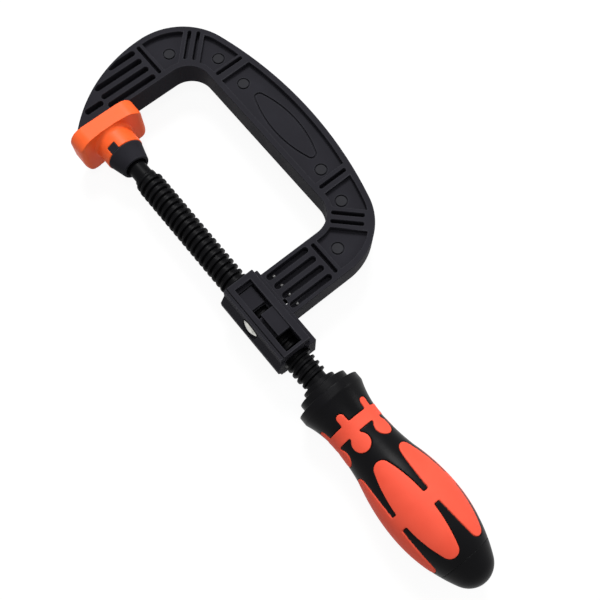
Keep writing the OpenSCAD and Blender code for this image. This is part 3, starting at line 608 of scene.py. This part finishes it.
def make_camera():
    """Camera at the photograph's viewing angle."""
    back = Vector((math.sin(AZIMUTH) * math.cos(ELEVATION), -math.cos(AZIMUTH) * math.cos(ELEVATION),
                   math.sin(ELEVATION)))
    right = Vector((math.cos(AZIMUTH), math.sin(AZIMUTH), 0))
    up = back.cross(right)
    rolled_right = math.cos(ROLL) * right + math.sin(ROLL) * up
    rolled_up = math.cos(ROLL) * up - math.sin(ROLL) * right
    turn = Matrix((rolled_right, rolled_up, back)).transposed()
    data = bpy.data.cameras.new("camera")
    data.lens = SENSOR_MM * FOCAL_PX / IMAGE_PX
    data.sensor_width = SENSOR_MM
    data.clip_start = CLIP_NEAR
    data.clip_end = CLIP_FAR
    camera = add_object("camera", data)
    camera.matrix_world = Matrix.Translation(AIM + DISTANCE * back) @ turn.to_4x4()
    bpy.context.scene.camera = camera


def looked_at(tree):
    """Number that is 1 on what the camera sees, straight or mirrored or through glass."""
    path = tree.nodes.new("ShaderNodeLightPath")
    seen = path.outputs["Is Camera Ray"]
    for kind in ("Is Glossy Ray", "Is Transmission Ray"):
        either = tree.nodes.new("ShaderNodeMath")
        either.operation = "MAXIMUM"
        tree.links.new(seen, either.inputs[0])
        tree.links.new(path.outputs[kind], either.inputs[1])
        seen = either.outputs["Value"]
    return seen


def floor_material():
    """Pale and glowing where it is looked at, with a soft shadow left, and dimmer as a light."""
    material, tree, shader = blank("floor")
    shader.inputs["Roughness"].default_value = FLOOR_ROUGHNESS
    seen = looked_at(tree)
    tree.links.new(ramp(tree, seen, FLOOR_DIM, FLOOR_PALE, 0, 1), shader.inputs["Base Color"])
    glow = node(tree, "ShaderNodeEmission", Color=WHITE, Strength=FLOOR_GLOW)
    share = node(tree, "ShaderNodeMapRange", To_Max=FLOOR_GLOW_SHARE)
    tree.links.new(seen, share.inputs["Value"])
    surface = mixed(tree, share.outputs["Result"], shader.outputs["BSDF"], glow.outputs["Emission"])
    tree.links.new(surface, tree.nodes["Material Output"].inputs["Surface"])
    return material


def make_floor():
    """Plain floor under the object."""
    mesh = bpy.data.meshes.new("floor")
    corners = [(x * FLOOR_HALF, y * FLOOR_HALF, 0) for x, y in ((-1, -1), (1, -1), (1, 1), (-1, 1))]
    mesh.from_pydata(corners, [], [(0, 1, 2, 3)])
    mesh.materials.append(floor_material())
    floor = add_object("floor", mesh)
    floor.location = (AIM.x, AIM.y, cad_low.z)


def make_world():
    """White to look at, and a soft grey light from all round."""
    world = bpy.data.worlds.new("studio")
    bpy.context.scene.world = world
    world.use_nodes = True
    tree = world.node_tree
    light = tree.nodes["Background"]
    light.inputs["Color"].default_value = WHITE
    light.inputs["Strength"].default_value = WORLD_LIGHT
    white = node(tree, "ShaderNodeBackground", Color=WHITE, Strength=1)
    surface = mixed(tree, looked_at(tree), light.outputs["Background"], white.outputs["Background"])
    tree.links.new(surface, tree.nodes["World Output"].inputs["Surface"])


def make_lamp(name, place, size, watts):
    """Soft square lamp that faces the object."""
    data = bpy.data.lights.new(name, "AREA")
    data.shape = "SQUARE"
    data.size = size
    data.energy = watts
    lamp = add_object(name, data)
    lamp.location = AIM + Vector(place)
    lamp.rotation_mode = "QUATERNION"
    lamp.rotation_quaternion = Vector(place).to_track_quat("Z", "Y")


make_camera()
finish = finishes()
softened("c_frame", FRAME_ROUNDING)
for name in ("release_slider", "pad_socket", "stop_ring", "handle_collar"):
    softened(name, SMALL_ROUNDING)
remoulded("side_cover", *COVER_SKIN)
remoulded("swivel_pad", *PAD_SKIN)
for name in ("handle_core", "grip_front", "grip_rear", "handle_end_cap"):
    remoulded(name, *HANDLE_SKIN)
polished("release_stud")
make_screw()
make_spring()
make_nub_glints()
make_pin_skins()
dress_nodes()
make_floor()
make_world()
for name, (place, size, watts) in LAMPS.items():
    make_lamp(name, place, size, watts)
bpy.context.scene.view_settings.view_transform = "Standard"
